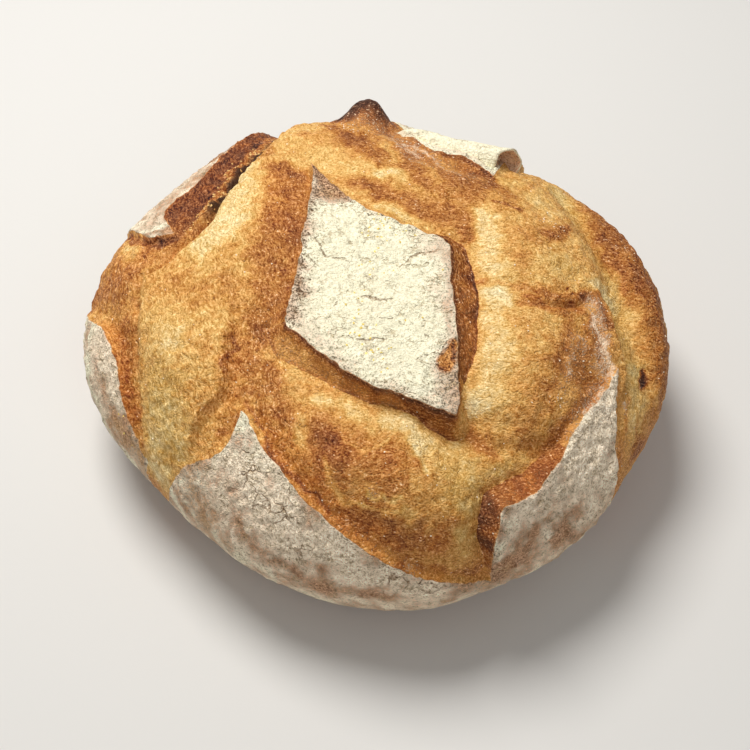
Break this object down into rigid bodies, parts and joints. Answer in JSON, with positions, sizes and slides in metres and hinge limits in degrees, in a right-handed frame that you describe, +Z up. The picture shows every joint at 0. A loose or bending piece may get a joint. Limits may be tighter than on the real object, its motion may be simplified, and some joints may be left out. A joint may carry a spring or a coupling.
{
  "type": "italian round loaf",
  "caption": "Round crusty country loaf, scored crosswise on top so that plates of floured skin and a raised ear stand between swollen bands of bare crust, flat underneath.",
  "frame": {"origin": "on the surface that the loaf stands on, under the middle of its bounding box", "axes": "+Z up; +Y from the front of the loaf to its back; +X to the right seen from the front, where the ear is at the back left"},
  "size_m": [0.2622, 0.2512, 0.1119],
  "materials": {
    "crust": "dry baked crust, gold to dark brown, matt with a faint sheen on the brownest places",
    "flour": "dusted white flour and semolina grains, fully matt",
    "crumb": "torn pale crumb at the cracks, matt"
  },
  "bodies": {
    "root": {"loaf": "crust"}
  },
  "joints": []
}
